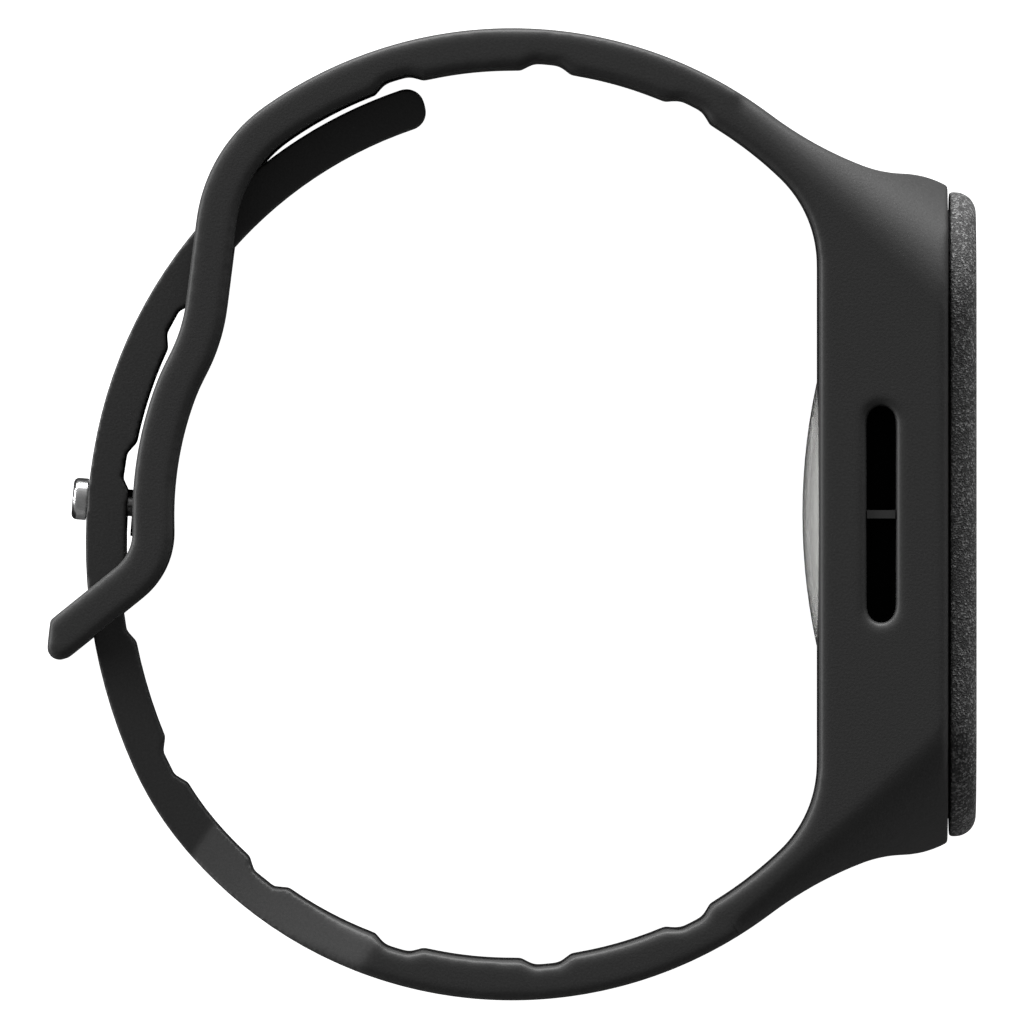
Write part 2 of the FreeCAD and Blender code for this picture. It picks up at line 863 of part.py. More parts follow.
def stud_spot():
    """Where the stud's axis crosses the tongue's middle line, and the outward direction."""
    start, heading = lower_start()
    point, heading = spot_along(start, heading, LOWER_STEPS, value("stud_distance"))
    return point, polar(Vector(0, 0, 0), 1, heading + 90)


def web_depth(point, outward):
    """How far inward from the tongue's middle line the web's outer face lies."""
    start, heading = upper_start()
    web = follow(start, heading, UPPER_STEPS)[0][-1]
    radius = value("web_radius + strap_thickness / 2")
    offset = point - web["centre"]
    across = offset.cross(outward).Length
    return offset.dot(outward) - math.sqrt(radius ** 2 - across ** 2)


def stand_at(obj, point, outward, height):
    """Turn an object's local Y axis outward and stand it on the band's middle plane."""
    place = Vector(point.x, point.y, value(MIDDLE)) + outward * height
    obj.Placement = Placement(place, Rotation(Vector(0, 1, 0), outward))


def post(name, point, outward, height, radius, length):
    """A cylinder along a strap's outward direction, from a height above the tongue's middle line."""
    part = doc.addObject("Part::Cylinder", name)
    bind(part, "Radius", radius)
    bind(part, "Height", length)
    place = Vector(point.x, point.y, value(MIDDLE)) + outward * height
    part.Placement = Placement(place, Rotation(Z_AXIS, outward))
    return part


def stud_holes():
    """The row of holes in the tongue, evenly spaced either side of the stud."""
    start, heading = lower_start()
    thickness = value("strap_thickness")
    holes = []
    for place in range(-HOLES_BEFORE_STUD, HOLES_AFTER_STUD + 1):
        distance = value("stud_distance") + place * value("groove_pitch")
        point, along = spot_along(start, heading, LOWER_STEPS + TAIL_STEPS, distance)
        outward = polar(Vector(0, 0, 0), 1, along + 90)
        holes.append(post(f"hole_{place + HOLES_BEFORE_STUD}", point, outward, -thickness,
                          "hole_radius", "2 * strap_thickness"))
    return group("stud_holes", holes)


def make_stud():
    """The turned stud, its base plate, and the seat that they need in the web."""
    point, outward = stud_spot()
    web = -web_depth(point, outward)
    face = value("strap_thickness") / 2
    inner = web - value("strap_thickness")
    heights = {
        "foot": inner,
        "flange": inner + value("stud_flange_thickness"),
        "neck": face + value("stud_head_gap"),
        "crown": face + value("stud_head_gap") + value("stud_head_length"),
    }
    body = make_body("stud_turned")
    sketch = sketch_on(body, "stud_profile", "XY_Plane")
    corners = [(0, "foot"), ("stud_flange_radius", "foot"), ("stud_flange_radius", "flange"),
               ("stud_neck_radius", "flange"), ("stud_neck_radius", "neck"),
               ("stud_head_radius", "neck"), ("stud_head_radius", "crown"), (0, "crown")]
    points = [Vector(value(across), heights[level], 0) for across, level in corners]
    for place, corner in enumerate(points):
        index = add_line(sketch, corner, points[(place + 1) % len(points)])
        across = corners[place][0]
        if across:
            number = sketch.addConstraint(
                Sketcher.Constraint("DistanceX", -1, 1, index, 1, value(across)))
            bind(sketch, f"Constraints[{number}]", across)
    join_ends(sketch)
    turned = body.newObject("PartDesign::Revolution", "Revolution")
    turned.Profile = sketch
    turned.ReferenceAxis = (sketch, ["V_Axis"])
    turned.Angle = 360
    doc.recompute()

    def at_crown(edge):
        level = edge.CenterOfMass.y
        return abs(level - heights["crown"]) < 1e-6 and edge.Length > value("stud_head_radius") * 6

    round_edges(body, turned, "stud_head_round", at_crown)
    stand_at(body, point, outward, 0)
    node(body, "closure_stud")

    plate_top = web + value("base_thickness") - value("base_sink")
    base = make_body("stud_base")
    outline_sketch = sketch_on(base, "stud_base_outline", "XZ_Plane")
    rectangle(outline_sketch, "0", "0", "base_length", "base_width")
    slab = pad(base, outline_sketch, "base_thickness")
    round_edges(base, slab, "base_corner", runs_along(Vector(0, 1, 0)))
    bore = sketch_on(base, "stud_base_bore", "XZ_Plane")
    circle(bore, "0", "0", "stud_neck_radius + stud_neck_play")
    pocket(base, bore, "base_thickness", forward=True)
    stand_at(base, point, outward, plate_top)
    node(base, "stud_base_plate")

    seat = doc.addObject("Part::Box", "base_seat")
    bind(seat, "Length", "base_length")
    bind(seat, "Width", "2 * base_thickness")
    bind(seat, "Height", "base_width")
    turned_box = Rotation(Vector(0, 1, 0), outward)
    low = Vector(-value("base_length") / 2, 0, -value("base_width") / 2)
    floor = web - value("base_sink")
    seat.Placement = Placement(
        Vector(point.x, point.y, value(MIDDLE)) + outward * floor + turned_box.multVec(low), turned_box)
    shank = post("shank_bore", point, outward, inner - value("run_out"),
                 "stud_neck_radius + stud_neck_play",
                 "2 * strap_thickness")
    flange = post("flange_seat", point, outward, inner - value("run_out"),
                  "stud_flange_radius + stud_neck_play",
                  "run_out + stud_flange_thickness")
    return fuse("stud_seat", [seat, shank, flange])


# ---------------------------------------------------------------- the side port

def make_port():
    """The pill-shaped insert with its cross rib, and the mesh under it, in the cradle's side slot."""
    floor = "(band_width + cavity_width) / 2"
    snug_length, snug_width = "port_length - 2 * port_play", "port_width - 2 * port_play"
    ring_floor = f"{floor} + port_floor"
    ring = make_body("port_ring")
    sketch = sketch_on(ring, "port_ring_outline", "XY_Plane", ring_floor)
    pill(sketch, "-port_x", "0", f"({snug_length})", f"({snug_width})")
    join_ends(sketch)
    pad(ring, sketch, "port_ring_height")
    hollow = sketch_on(ring, "port_ring_hollow", "XY_Plane", f"{ring_floor} + port_ring_height")
    pill(hollow, "-port_x", "0", f"({snug_length} - 2 * port_wall)", f"({snug_width} - 2 * port_wall)")
    join_ends(hollow)
    pocket(ring, hollow, "port_ring_height")
    rib = box("port_rib_bar", f"-port_x - ({snug_width}) / 2", "-port_rib / 2", ring_floor,
              snug_width, "port_rib", f"band_width - port_rib_drop - ({ring_floor})")
    node(fuse("port_insert_joined", [ring, rib]), "port_insert")

    mesh = make_body("port_mesh_sheet")
    sketch = sketch_on(mesh, "port_mesh_outline", "XY_Plane", f"{floor} + port_play")
    pill(sketch, "-port_x", "0", f"({snug_length})", f"({snug_width})")
    join_ends(sketch)
    pad(mesh, sketch, "port_mesh_thickness")
    node(mesh, "port_mesh")


# ---------------------------------------------------------------- the pod's shells

CHASSIS_LENGTH = "(cavity_length - 2 * pod_play)"
CHASSIS_WIDTH = "(cavity_width - 2 * pod_play)"
INNER_LENGTH = f"({CHASSIS_LENGTH} - 2 * chassis_wall)"
INNER_WIDTH = f"({CHASSIS_WIDTH} - 2 * chassis_wall)"
CHASSIS_CORNER = "(cavity_corner - pod_play)"
INNER_CORNER = "(cavity_corner - pod_play - chassis_wall)"


def make_chassis():
    body = plate("chassis_tub", CHASSIS_LENGTH, CHASSIS_WIDTH, CHASSIS_CORNER,
                 "-chassis_back", "rim_plane")
    front = plate("chassis_front_hollow", INNER_LENGTH, INNER_WIDTH, INNER_CORNER,
                  "-floor_front", "rim_plane + run_out")
    recess = plate("chassis_back_recess", INNER_LENGTH, INNER_WIDTH, INNER_CORNER,
                   "-chassis_back - run_out", "-floor_back")
    optics = disc("optics_hole", "-chassis_back - run_out", "0", MIDDLE, "optics_hole_radius",
                  "bore_length")
    ports = make_body("chassis_ports")
    sketch = sketch_on(ports, "chassis_port_outline", "XY_Plane", MIDDLE)
    for side in ("", "-"):
        pill(sketch, "-port_x", f"{side}chassis_port_y", "chassis_port_length", "chassis_port_width")
    join_ends(sketch)
    pad(ports, sketch, "band_width")
    bosses = [disc(f"boss_{place}", "-floor_front - boss_sink", y, z, "boss_radius",
                   "floor_front + boss_sink - board_back")
              for place, (y, z) in enumerate(screw_places())]
    bores = [disc(f"boss_bore_{place}", "-floor_front", y, z, "boss_bore_radius", "floor_front")
             for place, (y, z) in enumerate(screw_places())]
    tub = cut("chassis_opened", body, fuse("chassis_hollows", [front, recess, optics, ports]))
    whole = fuse("chassis_with_bosses", [tub] + bosses)
    node(cut("chassis_cut", whole, group("boss_bores", bores)), "pod_chassis")


def screw_places():
    return [(f"{side_y}boss_y", f"{MIDDLE} {side_z} boss_z") for side_y in ("", "-") for side_z in "+-"]


def make_front():
    """A rigid carrier plate with a plug rim, the textured skin wrapped round it, and the gasket."""
    back = "rim_plane + seam"
    inner_length = "(front_length - 2 * fabric_thickness)"
    inner_width = "(front_width - 2 * fabric_thickness)"
    inner_corner = "front_corner - fabric_thickness"
    snug = "carrier_snug"
    slab = plate("carrier_plate", f"({inner_length} - 2 * {snug})", f"({inner_width} - 2 * {snug})",
                 inner_corner, back, "carrier_front")
    plug_length = f"({INNER_LENGTH} - 2 * cover_play)"
    plug_width = f"({INNER_WIDTH} - 2 * cover_play)"
    plug = frame_plate("carrier_plug", (plug_length, plug_width, INNER_CORNER),
                       (f"({plug_length} - 2 * plug_wall)", f"({plug_width} - 2 * plug_wall)",
                        f"{INNER_CORNER} - plug_wall"), f"{back} - plug_depth", back)
    node(fuse("carrier_joined", [slab, plug]), "front_carrier")

    skin = plate("fabric_blank", "front_length", "front_width", "front_corner", back, "front_face")

    def at_front(edge):
        return abs(edge.BoundBox.XMin - value("front_face")) < 1e-6

    round_edges(skin, skin.Tip, "front_round", at_front)
    hollow = plate("fabric_hollow", inner_length, inner_width, inner_corner,
                   f"{back} - run_out", "carrier_front")
    node(cut("fabric_cut", skin, hollow), "front_fabric")

    gasket = frame_plate("gasket_plate", (CHASSIS_LENGTH, CHASSIS_WIDTH, CHASSIS_CORNER),
                         (INNER_LENGTH, INNER_WIDTH, INNER_CORNER), "rim_plane", back)
    node(gasket, "cover_gasket")


def make_back():
    """The skin-side cover with the dome's seat, its seal, and the two charging contacts."""
    cover = plate("cover_plateau", "(back_window_length - 2 * pod_play)", CHASSIS_WIDTH,
                  "back_window_corner - pod_play", "-back_plane", "-chassis_back")
    flange = plate("cover_flange", f"({INNER_LENGTH} - 2 * cover_play)",
                   f"({INNER_WIDTH} - 2 * cover_play)", INNER_CORNER,
                   "-chassis_back", "-flange_front")
    through = disc("dome_hole", "-back_plane - run_out", "0", MIDDLE, "cover_hole_radius", "back_plane")
    seat = disc("dome_seat", "-back_plane - run_out", "0", MIDDLE, "dome_seat_radius",
                "back_plane + run_out - dome_seat")
    contacts = [disc(f"contact_hole_{place}", "-back_plane - run_out", f"{side}contact_y", MIDDLE,
                     "contact_radius", "back_plane") for place, side in enumerate(("", "-"))]
    joined = fuse("cover_joined", [cover, flange])
    node(cut("cover_cut", joined, fuse("cover_holes", [through, seat] + contacts)), "back_cover")

    pads = [disc(f"contact_{place}", "-back_plane + contact_sink", f"{side}contact_y", MIDDLE,
                 "contact_radius", "back_plane - contact_sink - flange_front")
            for place, side in enumerate(("", "-"))]
    node(group("contacts", pads), "charging_contacts")

    seal = plate("seal_plate", f"({INNER_LENGTH} - 2 * cover_play)",
                 f"({INNER_WIDTH} - 2 * cover_play)", INNER_CORNER,
                 "-flange_front", "-floor_back")
    hole = disc("seal_hole", "-flange_front - run_out", "0", MIDDLE, "optics_hole_radius",
                  "bore_length")
    middle = plate("seal_hollow", f"({INNER_LENGTH} - 2 * cover_play - 2 * seal_width)",
                   f"({INNER_WIDTH} - 2 * cover_play - 2 * seal_width)",
                   f"{INNER_CORNER} - seal_width", "-flange_front - run_out", "-floor_back")
    node(cut("seal_cut", seal, fuse("seal_middle", [middle, hole])), "back_seal")


# ---------------------------------------------------------------- the optics

def make_dome():
    """A shallow clear shell: two spheres about one centre, with a flat rim."""
    centre = "dome_sphere - back_plane - dome_height"
    outer = sphere("dome_outer", centre, "dome_sphere")
    inner = sphere("dome_inner", centre, "dome_sphere - dome_wall")
    rim = disc("dome_rim", "-back_plane - 2 * dome_height", "0", MIDDLE, "dome_radius",
               "back_plane + 2 * dome_height - dome_seat")
    core = disc("dome_core", "-back_plane - 2 * dome_height", "0", MIDDLE, "dome_rim_inner",
                "back_plane + 2 * dome_height")
    cap = common("dome_cap", outer, rim)
    node(cut("dome_cut", cap, common("dome_hollow", inner, core)), "sensor_dome")


def sphere(name, x, radius):
    part = doc.addObject("Part::Sphere", name)
    bind(part, "Radius", radius)
    bind(part, "Placement.Base.x", x)
    bind(part, "Placement.Base.z", MIDDLE)
    return part


def cell(name, y, z, length, width):
    """A well through the barrier; it reaches past both faces."""
    return box(name, "-barrier_back - run_out", f"{y} - {length} / 2", f"{z} - {width} / 2",
               "barrier_back", length, width)


def make_optics():
    block = disc("barrier_block", "-barrier_back", "0", MIDDLE, "barrier_radius",
                 "barrier_back - barrier_front")
    cells = [cell("emitter_cell", "0", MIDDLE, "emitter_cell_length", "emitter_cell_width")]
    diodes = []
    infrared = []
    emitters = []
    chip_x = "-barrier_front - chip_height"
    for side_z in "+-":
        spot_z = f"{MIDDLE} {side_z} infrared_cell_z"
        cells.append(cell(f"infrared_cell_{len(cells)}", "0", spot_z, "infrared_cell_length",
                          "infrared_cell_width"))
        infrared.append(chip(f"infrared_{len(infrared)}", chip_x, "0", spot_z, "chip_height",
                             "infrared_size"))
        for side_y in ("", "-"):
            spot_y = f"{side_y}diode_cell_y"
            diode_z = f"{MIDDLE} {side_z} diode_cell_z"
            cells.append(cell(f"diode_cell_{len(cells)}", spot_y, diode_z, "diode_cell", "diode_cell"))
            diodes.append(chip(f"diode_{len(diodes)}", chip_x, spot_y, diode_z, "chip_height",
                               "diode_size"))
    for side_y in ("", "-"):
        emitters.append(chip(f"emitter_{len(emitters)}", chip_x, f"{side_y}emitter_y", MIDDLE,
                             "chip_height", "emitter_size"))
    node(cut("barrier_cut", block, fuse("barrier_cells", cells)), "optical_barrier")
    node(group("emitters", emitters), "green_leds")
    node(group("infrared_pair", infrared), "infrared_leds")
    node(group("diodes", diodes), "photodiodes")
    node(disc("sensor_disc", "-barrier_front", "0", MIDDLE, "sensor_board_radius",
              "sensor_board_thickness"), "sensor_board")


# ---------------------------------------------------------------- boards, battery and chips

def make_boards():
    blank = plate("board_blank", "board_length", "board_width", "board_corner",
                  "-board_back", "-board_front")
    holes = [disc(f"board_hole_{place}", "-board_back - run_out", y, z, "board_hole_radius",
                  "bore_length")
             for place, (y, z) in enumerate(screw_places())]
    node(cut("board_cut", blank, group("board_holes", holes)), "main_board")

    screws = []
    for place, (y, z) in enumerate(screw_places()):
        shank = disc(f"screw_shank_{place}", "-board_front - screw_length", y, z, "screw_radius",
                     "screw_length")
        head = disc(f"screw_head_{place}", "-board_front", y, z, "screw_head_radius",
                    "screw_head_height")
        screws.append(fuse(f"screw_{place}", [shank, head]))
    node(group("screws", screws), "board_screws")

    sensor_front = "(barrier_front - sensor_board_thickness)"
    node(box("connector_block", f"-{sensor_front}", "-connector_length / 2",
             f"{MIDDLE} - connector_width / 2", f"{sensor_front} - board_back",
             "connector_length", "connector_width"), "board_connector")
    chip_x = "-board_back - board_chip_height"
    for name, label, y, z, side in (
            ("processor_chip", "processor", "-board_chip_y", MIDDLE, "processor_size"),
            ("radio_chip", "radio_module", "board_chip_y", MIDDLE, "radio_size"),
            ("motion_chip", "motion_sensor", "-board_chip_y", "motion_z", "motion_size")):
        node(chip(name, chip_x, y, z, "board_chip_height", side), label)
    node(box("microphone_can", "-board_front", "-chassis_port_y - microphone_length / 2",
             "microphone_z", "microphone_height", "microphone_length", "microphone_width"),
         "microphone")


def make_power():
    cell_body = plate("battery_pouch", "battery_length", "battery_width",
                      "battery_corner", "-battery_back", "battery_front")
    across = value("battery_z + (battery_width - band_width) / 2")
    shift = Vector(0, value("battery_length / 2 - battery_y"), across)
    cell_body.Placement = Placement(shift, Rotation())
    node(cell_body, "battery_cell")
    node(box("foam_pad", "battery_front", "(battery_length - foam_length) / 2 - battery_y",
             "battery_z + (battery_width - foam_width) / 2", "foam_front - battery_front",
             "foam_length", "foam_width"), "battery_foam")
    node(box("antenna_strip", "-antenna_x", "antenna_y", f"{MIDDLE} - antenna_width / 2",
             "antenna_depth", "antenna_thickness", "antenna_width"), "antenna")


# ---------------------------------------------------------------- the vibration motor

def make_motor():
    """A coin motor: base on the board, can, fixed shaft and an off-centre rotor that turns on it."""
    spot = ("motor_y", MIDDLE)
    outer = disc("motor_outer", "-motor_back", *spot, "motor_radius", "motor_back + motor_front")
    inner = disc("motor_inner", "-motor_back - run_out", *spot, "motor_radius - motor_wall",
                 "1 + motor_back + motor_front - motor_wall")
    node(cut("motor_can_cut", outer, inner), "motor_can")
    node(disc("motor_base_disc", "-motor_back", *spot, "motor_base_radius",
              "motor_base_thickness"), "motor_base")
    base_top = "motor_base_thickness - motor_back"
    node(disc("motor_pin", base_top, *spot, "motor_shaft_radius",
              f"motor_front - motor_wall - ({base_top})"), "motor_shaft")

    thickness = "rotor_front - rotor_back"
    wheel = disc("rotor_wheel", "rotor_back", *spot, "rotor_radius", thickness)
    lower_half = box("rotor_half", "rotor_back", "motor_y - rotor_radius", f"{MIDDLE} - rotor_radius",
                     thickness, "2 * rotor_radius", "rotor_radius")
    hub = disc("rotor_hub", "rotor_back", *spot, "rotor_hub_radius", thickness)
    bore = disc("rotor_bore", "rotor_back - run_out", *spot, "rotor_bore_radius", "rotor_front + 2 * run_out")
    weight = fuse("rotor_blank", [common("rotor_sector", wheel, lower_half), hub])
    node(cut("rotor_cut", weight, bore), "motor_weight")


# ---------------------------------------------------------------- build, check and write

def check_and_export():
    doc.recompute()
    for item in doc.Objects:
        if "Invalid" in item.State or "Error" in item.State:
            raise RuntimeError(f"{item.Name} failed: {item.State}")
    for item in NODES:
        if item.Shape.isNull() or not item.Shape.isValid():
            raise RuntimeError(f"{item.Label} has no valid shape")
    os.makedirs("parts", exist_ok=True)
    for item in NODES:
        item.Shape.exportStep(f"parts/{item.Label}.step")
        print(item.Label, round(item.Shape.Volume, 2), len(item.Shape.Solids))


make_cradle()
tongue_path = make_tongue_path()
make_upper_strap(tongue_path, make_stud())
make_keeper_loop(tongue_path)
holes = stud_holes()
make_lower_strap(holes)
make_strap_tail(holes)
make_port()
make_chassis()
make_front()
make_back()
make_dome()
make_optics()
make_boards()
make_power()
make_motor()
check_and_export()
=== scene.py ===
import json
import math

import bmesh
import bpy
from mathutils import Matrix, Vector


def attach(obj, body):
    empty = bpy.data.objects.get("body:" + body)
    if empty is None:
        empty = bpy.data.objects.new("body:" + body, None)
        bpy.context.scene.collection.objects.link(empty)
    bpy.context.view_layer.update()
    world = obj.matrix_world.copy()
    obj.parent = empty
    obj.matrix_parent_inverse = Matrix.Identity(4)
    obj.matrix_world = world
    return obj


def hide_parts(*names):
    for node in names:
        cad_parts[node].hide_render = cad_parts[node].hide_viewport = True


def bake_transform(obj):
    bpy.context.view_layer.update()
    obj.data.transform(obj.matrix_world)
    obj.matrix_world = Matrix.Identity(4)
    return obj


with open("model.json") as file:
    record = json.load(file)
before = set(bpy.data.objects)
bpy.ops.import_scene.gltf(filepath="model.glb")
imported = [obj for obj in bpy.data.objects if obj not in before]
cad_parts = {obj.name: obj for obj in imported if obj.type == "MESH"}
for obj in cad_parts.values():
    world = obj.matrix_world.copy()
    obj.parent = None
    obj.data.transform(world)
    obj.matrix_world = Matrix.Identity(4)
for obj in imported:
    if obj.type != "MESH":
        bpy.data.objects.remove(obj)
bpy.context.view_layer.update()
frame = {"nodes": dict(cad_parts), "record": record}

# Looks of a closed fitness tracker band that lies on its side: X out through the case's front, Y along
# the case, Z across the band. Lengths are in metres, and MM turns millimetres into them.

MM = 0.001
RING_X = -24.75 * MM          # the straps' ring has two centres, one for each strap
RING_Y = 3.75 * MM
RING_RADIUS = 27.3 * MM
BAND_TOP = 24 * MM            # the band's upper side
ROOT_ANGLE = math.radians(58)  # where the cradle ends and the straps begin
SILICONE_VOXEL = 0.15 * MM
SIDE_ROUND = 1.2 * MM         # where the rounding of the band's sides fades to half
GROOVE_PASSES = 4
SIDE_PASSES = 50
SKIN_VOXEL = 0.11 * MM
SMALL_VOXEL = 0.1 * MM
STUD_VOXEL = 0.05 * MM
WELD = 0.001 * MM             # corners this near are one corner
nodes = frame["nodes"]


# ---------------------------------------------------------------- soft pieces from the CAD shapes

def gather(label, *parts):
    """One new mesh from copies of CAD shapes; the nodes themselves stay as they are. A part is a
    node's name, how far its copy is moved, and a plane (point, normal) that cuts off what is beyond."""
    work = bmesh.new()
    for name, shift, plane in parts:
        copied = bmesh.new()
        copied.from_mesh(nodes[name].data)
        bmesh.ops.remove_doubles(copied, verts=copied.verts, dist=WELD)
        bmesh.ops.translate(copied, verts=copied.verts, vec=shift)
        if plane is not None:
            cut_beyond(copied, *plane)
        between = bpy.data.meshes.new("between")
        copied.to_mesh(between)
        copied.free()
        work.from_mesh(between)
        bpy.data.meshes.remove(between)
    mesh = bpy.data.meshes.new(label)
    work.to_mesh(mesh)
    work.free()
    piece = bpy.data.objects.new(label, mesh)
    bpy.context.collection.objects.link(piece)
    return piece


def cut_beyond(work, point, normal, half=0):
    """Cut away what lies beyond a plane and close the cut. Where half is 1 or -1, only the part with
    Y of that sign is cut."""
    verts = [vert for vert in work.verts if half == 0 or vert.co.y * half > 0]
    chosen = set(verts)
    edges = [edge for edge in work.edges if chosen.issuperset(edge.verts)]
    faces = [face for face in work.faces if chosen.issuperset(face.verts)]
    made = bmesh.ops.bisect_plane(work, geom=verts + edges + faces, plane_co=point,
                                  plane_no=normal, clear_outer=True)["geom_cut"]
    for face in work.faces:
        face.smooth = True
    rim = [part for part in made if isinstance(part, bmesh.types.BMEdge)]
    for edge in rim:
        edge.smooth = False
    for face in bmesh.ops.holes_fill(work, edges=rim, sides=0)["faces"]:
        face.smooth = False


def settle(piece, *modifiers):
    """Add modifiers and make their result the piece's own mesh."""
    for kind, settings in modifiers:
        added = piece.modifiers.new(kind.title(), kind)
        for key, setting in settings.items():
            setattr(added, key, setting)
    graph = bpy.context.evaluated_depsgraph_get()
    mesh = bpy.data.meshes.new_from_object(piece.evaluated_get(graph))
    piece.modifiers.clear()
    piece.data = mesh
    return piece


def melt(piece, voxel, passes):
    """One soft body from overlapping shells: joined, and with every edge rounded by smoothing."""
    remesh = {"mode": "VOXEL", "voxel_size": voxel, "use_smooth_shade": True}
    return settle(piece, ("REMESH", remesh), ("SMOOTH", {"factor": 0.5, "iterations": passes}))


def round_sides(piece, passes):
    """Round the long edges at the two sides of the band more than the grooves between them."""
    group = piece.vertex_groups.new(name="sides")
    low, high = (end.z for end in extent(piece))
    for vert in piece.data.vertices:
        inset = min(vert.co.z - low, high - vert.co.z)
        share = min(1.0, max(0.0, 1.5 - inset / SIDE_ROUND))   # full up to half of SIDE_ROUND
        if share > 0:
            group.add([vert.index], share, "REPLACE")
    settings = {"factor": 0.5, "iterations": passes, "vertex_group": "sides"}
    return settle(piece, ("SMOOTH", settings))


def extent(piece):
    """The piece's lowest and highest corners."""
    corners = [Vector(corner) for corner in piece.bound_box]
    return Vector(map(min, *corners)), Vector(map(max, *corners))


def root_plane(side):
    """A point on the plane between the cradle and a strap, and its normal towards the strap."""
    angle = side * ROOT_ANGLE
    point = Vector((RING_X + RING_RADIUS * math.cos(angle),
                    side * RING_Y + RING_RADIUS * math.sin(angle), 0))
    normal = Vector((-math.sin(angle), math.cos(angle), 0)) * side
    return point, normal


def slice_off(piece, point, normal, half):
    """Cut a finished piece at a plane, on one side of the band only."""
    work = bmesh.new()
    work.from_mesh(piece.data)
    cut_beyond(work, point, normal, half)
    work.to_mesh(piece.data)
    work.free()


# ---------------------------------------------------------------- the band

JOIN = 0.13 * MM              # closes the gap that the CAD leaves between neighbouring nodes
STUB = 3 * MM                 # how much of a neighbour is melted into a piece's end
TAIL_HEADING = math.radians(48.9)
STILL = Vector((0, 0, 0))
tail_way = Vector((math.cos(TAIL_HEADING), math.sin(TAIL_HEADING), 0))
keeper_way = Vector((0, -1, 0))
upper_point, upper_way = root_plane(1)
lower_point, lower_way = root_plane(-1)


def round_band(piece):
    """Melt a part of the band into one soft body with rounded sides."""
    round_sides(melt(piece, SILICONE_VOXEL, GROOVE_PASSES), SIDE_PASSES)


def cradle_stub(point, way):
    """The cradle's end next to a strap, moved a little to meet it."""
    return "cradle_shell", way * JOIN, (point - way * STUB, -way)


def strap_stub(name, point, way):
    """A strap's end next to the cradle, moved a little to meet it."""
    return name, way * -JOIN, (point + way * STUB, way)


upper_piece = gather("upper_strap_skin", ("upper_strap", STILL, None),
                     ("keeper_loop", keeper_way * -JOIN, None), cradle_stub(upper_point, upper_way))
lower_piece = gather("lower_strap_skin", ("lower_strap", STILL, None),
                     ("strap_tail", tail_way * -JOIN, None), cradle_stub(lower_point, lower_way))
cradle_piece = gather("cradle_skin", ("cradle_shell", STILL, None),
                      strap_stub("upper_strap", upper_point, upper_way),
                      strap_stub("lower_strap", lower_point, lower_way))
for piece in (upper_piece, lower_piece, cradle_piece):
    round_band(piece)
slice_off(upper_piece, upper_point, -upper_way, 1)
slice_off(lower_piece, lower_point, -lower_way, -1)
slice_off(cradle_piece, upper_point, upper_way, 1)
slice_off(cradle_piece, lower_point, lower_way, -1)

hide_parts("upper_strap", "keeper_loop")
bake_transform(upper_piece)
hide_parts("lower_strap", "strap_tail")
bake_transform(lower_piece)
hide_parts("cradle_shell")
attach(cradle_piece, "band")
soft_pieces = {"silicone": [upper_piece, lower_piece, cradle_piece]}


# ---------------------------------------------------------------- the pod's soft parts

def soften(name, body, slot, voxel, passes):
    """A soft CAD node's own skin, with its edges rounded."""
    piece = melt(gather(name + "_skin", (name, STILL, None)), voxel, passes)
    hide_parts(name)
    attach(piece, body)
    soft_pieces.setdefault(slot, []).append(piece)
    return piece


soften("front_fabric", "pod", "front_textile", SKIN_VOXEL, 6)
soften("cover_gasket", "pod", "seal_rubber", SMALL_VOXEL, 3)
soften("back_seal", "pod", "seal_rubber", SMALL_VOXEL, 3)
soften("battery_foam", "pod", "foam_grey", SMALL_VOXEL, 5)
soften("closure_stud", "band", "polished_steel", STUD_VOXEL, 4)


# ---------------------------------------------------------------- materials

RIB_HALF = 0.3 * MM           # half the width of the rib across the side port
DULL = 0.05                   # specular level of surfaces that hardly shine
CLEARNESS = 0.85              # share of the light that goes into a clear plastic
TRACE_WIDTH = 0.012           # a copper line's width in the boards' pattern
MIX_FIRST, MIX_SECOND = 6, 7  # the colour sockets among all of the Mix node's inputs
MIX_RESULT = 2                # and the colour among its outputs


def grown(material, kind, **settings):
    """A new node in a material's tree with its sockets set."""
    made = material.node_tree.nodes.new(kind)
    for key, setting in settings.items():
        if key in made.inputs:
            made.inputs[key].default_value = setting
        else:
            setattr(made, key, setting)
    return made


def wire(material, source, output, target, socket):
    """Link one node's output to another node's input."""
    material.node_tree.links.new(source.outputs[output], target.inputs[socket])


def finish_of(name, roughness, metallic=0.0):
    """A fresh material with its main shader and the object's own coordinates."""
    material = bpy.data.materials.new(name)
    material.use_nodes = True
    shader = material.node_tree.nodes["Principled BSDF"]
    shader.inputs["Roughness"].default_value = roughness
    shader.inputs["Metallic"].default_value = metallic
    where = grown(material, "ShaderNodeTexCoord")
    return material, shader, where


def grey(level, tint=(1.0, 1.0, 1.0)):
    """A colour from one level, with a tint where it isn't neutral."""
    return tuple(level * part for part in tint) + (1.0,)


def mottled(name, dark, light, roughness, grain, relief, metallic=0.0, spread=(0.35, 0.65)):
    """Two tones mixed by fine noise, with the same noise as a shallow relief."""
    material, shader, where = finish_of(name, roughness, metallic)
    noise = grown(material, "ShaderNodeTexNoise", Scale=grain, Detail=6.0, Roughness=0.6)
    tone = grown(material, "ShaderNodeValToRGB")
    tone.color_ramp.elements[0].position = spread[0]
    tone.color_ramp.elements[0].color = dark
    tone.color_ramp.elements[1].position = spread[1]
    tone.color_ramp.elements[1].color = light
    bump = grown(material, "ShaderNodeBump", Strength=1.0, Distance=relief)
    wire(material, where, "Object", noise, "Vector")
    wire(material, noise, "Fac", tone, "Fac")
    wire(material, tone, "Color", shader, "Base Color")
    wire(material, noise, "Fac", bump, "Height")
    wire(material, bump, "Normal", shader, "Normal")
    return material, shader


